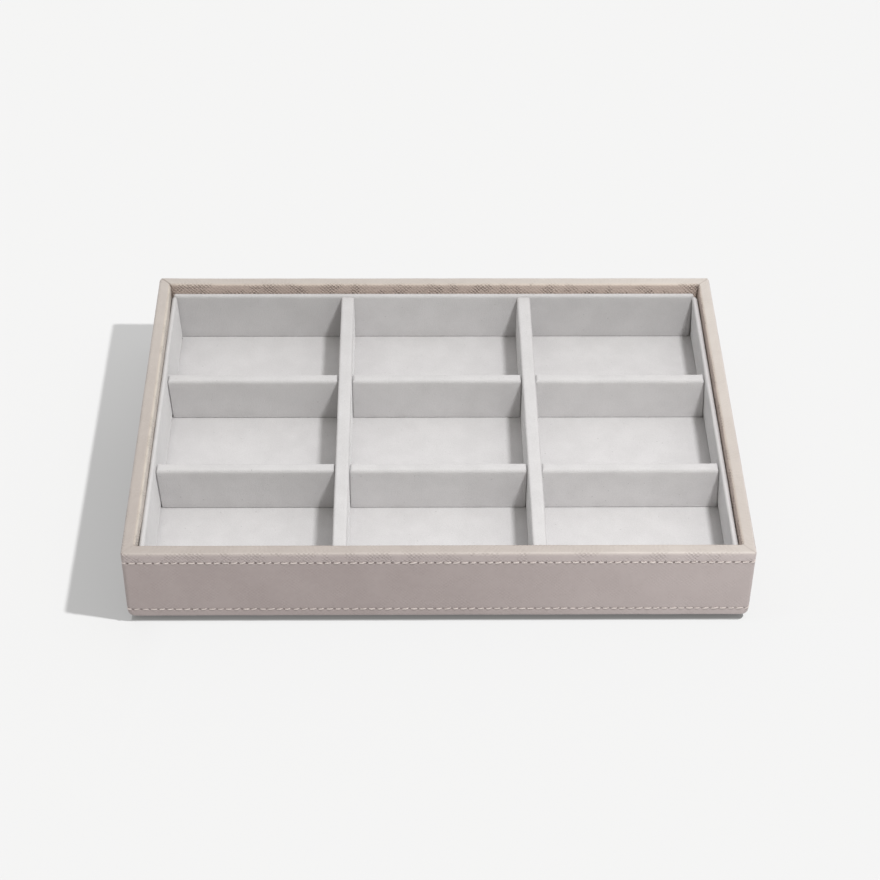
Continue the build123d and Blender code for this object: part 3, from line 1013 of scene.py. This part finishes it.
class TRAY_OT_stage(bpy.types.Operator):
    """Lays the floor and sets the sky, the lamps and the camera"""
    bl_idname = "tray.stage"
    bl_label = "Stage"

    def execute(self, context):
        scene, settings = context.scene, context.scene.tray_stage
        floor = self.lay_floor(scene, settings)
        self.hang_lamps(scene, settings, floor)
        self.light_sky(scene, settings)
        camera = bpy.data.cameras.new("camera")
        camera.lens = settings.camera_lens
        camera.sensor_width = 36.0
        camera.clip_start = 0.01
        stand = bpy.data.objects.new("camera", camera)
        stand.location = settings.camera_place
        stand.rotation_euler = Euler(settings.camera_turn)
        scene.collection.objects.link(stand)
        scene.camera = stand
        scene.view_settings.view_transform = "Standard"
        scene.view_settings.look = "None"
        return {"FINISHED"}

    def lay_floor(self, scene, settings):
        """A flat floor that is seen equally bright all over.

        It glows by itself a little, less under the tray and more beside its back and close to its
        front. The lamp lights it by power / (4 pi^2) x height / (height^2 + distance^2)^1.5 and the sky
        by its even part plus half of the part above, so its colour is the tone less the glow, over that
        sum."""
        mesh = bpy.data.meshes.new("floor")
        mesh.from_pydata([(-6, -6, 0), (6, -6, 0), (6, 6, 0), (-6, 6, 0)], [], [(0, 1, 2, 3)])
        material, tree, shader, here = new_material("paper_floor")
        apart = made(tree, "VectorMath", {0: here, 1: settings.floor_place}, "Value", operation="DISTANCE")
        lamp = settings.floor_power / (4 * np.pi ** 2) * settings.floor_place[2] / apart.step("POWER", 3.0)
        sky = settings.sky_even + settings.sky_above / 2

        x, y, _ = parts(tree, "SeparateXYZ", {0: here})
        front, left = -half_depth, -half_width
        reach, soft_edge, from_left = 0.08, 0.002, 0.02
        ahead = least(y.between(front - reach, front, 0.0, settings.glow_ahead),
                      y.between(front - soft_edge, front + soft_edge, settings.glow_ahead, 0.0),
                      x.between(left, left + from_left, 0.0, settings.glow_ahead))
        open_floor = y.between(-0.02, 0.11, 0.0, settings.glow_behind) + (ahead + settings.floor_glow)
        beyond = most(abs(x) - half_width, abs(y) - half_depth)
        under = beyond.between(-0.0045, -0.0004, 0.8 * settings.glow_under, 1.3 * settings.glow_under)
        glow = least(under + beyond.between(-0.0013, -0.0004), open_floor)
        seen = least((settings.floor_tone - glow) / (lamp + sky), 1.0)
        feed(tree, shader, Base_Color=made(tree, "CombineColor", {0: seen, 1: seen, 2: seen}),
             Emission_Color=made(tree, "CombineColor", {0: glow, 1: glow, 2: glow}),
             Emission_Strength=1.0, Roughness=1.0, Specular_IOR_Level=0.0)
        mesh.materials.append(material)
        floor = bpy.data.objects.new("floor", mesh)
        scene.collection.objects.link(floor)
        return floor

    def hang_lamps(self, scene, settings, floor):
        """A small lamp for the tray and one for the floor."""
        for name, power, place, size, state in (
                ("key", settings.key_power, settings.key_place, settings.key_size, "EXCLUDE"),
                ("floor_key", settings.floor_power, settings.floor_place, settings.floor_size, "INCLUDE")):
            lamp = bpy.data.lights.new(name, "POINT")
            lamp.energy = power
            lamp.shadow_soft_size = size
            stand = bpy.data.objects.new(name, lamp)
            stand.location = place
            scene.collection.objects.link(stand)
            lit = bpy.data.collections.new(name + "_receivers")
            lit.objects.link(floor)
            lit.collection_objects[0].light_linking.link_state = state
            stand.light_linking.receiver_collection = lit

    def light_sky(self, scene, settings):
        """A sky that is brighter overhead.

        Its strength is its even part plus its part above times the square of the way up. All of it
        is stronger towards the back and the right, and a little warmer towards the front."""
        world = bpy.data.worlds.new("sky")
        world.use_nodes = True
        tree = world.node_tree
        right, back, up = parts(tree, "SeparateXYZ", {0: made(tree, "TexCoord", pick="Generated")})
        up = most(up, 0.0)
        high = up * up * settings.sky_above + settings.sky_even
        strength = high * (right * settings.sky_right + (back * settings.sky_behind + 1.0))
        feed(tree, tree.nodes["Background"], Strength=strength,
             Color=blend(tree, back.between(-0.8, 0.4), (1.0, 0.988, 0.895), (1.0, 0.995, 1.0)))
        scene.world = world


OPERATORS = (TRAY_OT_leatherette, TRAY_OT_stitching, TRAY_OT_inner_walls, TRAY_OT_dividers,
             TRAY_OT_floor_velvet, TRAY_OT_foot, TRAY_OT_boards, TRAY_OT_stage)
SETTINGS = {"tray_leatherette": LeatheretteSettings, "tray_stitches": StitchSettings,
            "tray_velvet": VelvetSettings, "tray_boards": BoardSettings, "tray_stage": StageSettings}


class TRAY_PT_panel(bpy.types.Panel):
    """The tray's pieces and settings"""
    bl_label = "Stacking tray"
    bl_space_type = "VIEW_3D"
    bl_region_type = "UI"
    bl_category = "Tray"

    def draw(self, context):
        for operator in OPERATORS:
            self.layout.operator(operator.bl_idname)
        for name in SETTINGS:
            settings = getattr(context.scene, name)
            box = self.layout.box()
            for prop in settings.bl_rna.properties:
                if prop.identifier not in ("rna_type", "name"):
                    box.prop(settings, prop.identifier)


def register():
    for name, settings in SETTINGS.items():
        bpy.utils.register_class(settings)
        setattr(bpy.types.Scene, name, PointerProperty(type=settings))
    for shown in (*OPERATORS, TRAY_PT_panel):
        bpy.utils.register_class(shown)


def unregister():
    for shown in (TRAY_PT_panel, *reversed(OPERATORS)):
        bpy.utils.unregister_class(shown)
    for name, settings in SETTINGS.items():
        delattr(bpy.types.Scene, name)
        bpy.utils.unregister_class(settings)


def main():
    register()
    build_groups()
    bpy.ops.tray.leatherette()
    bpy.ops.tray.stitching()
    bpy.ops.tray.inner_walls()
    bpy.ops.tray.dividers()
    bpy.ops.tray.floor_velvet()
    bpy.ops.tray.foot()
    bpy.ops.tray.boards()
    bpy.ops.tray.stage()


if __name__ == "__main__":
    main()
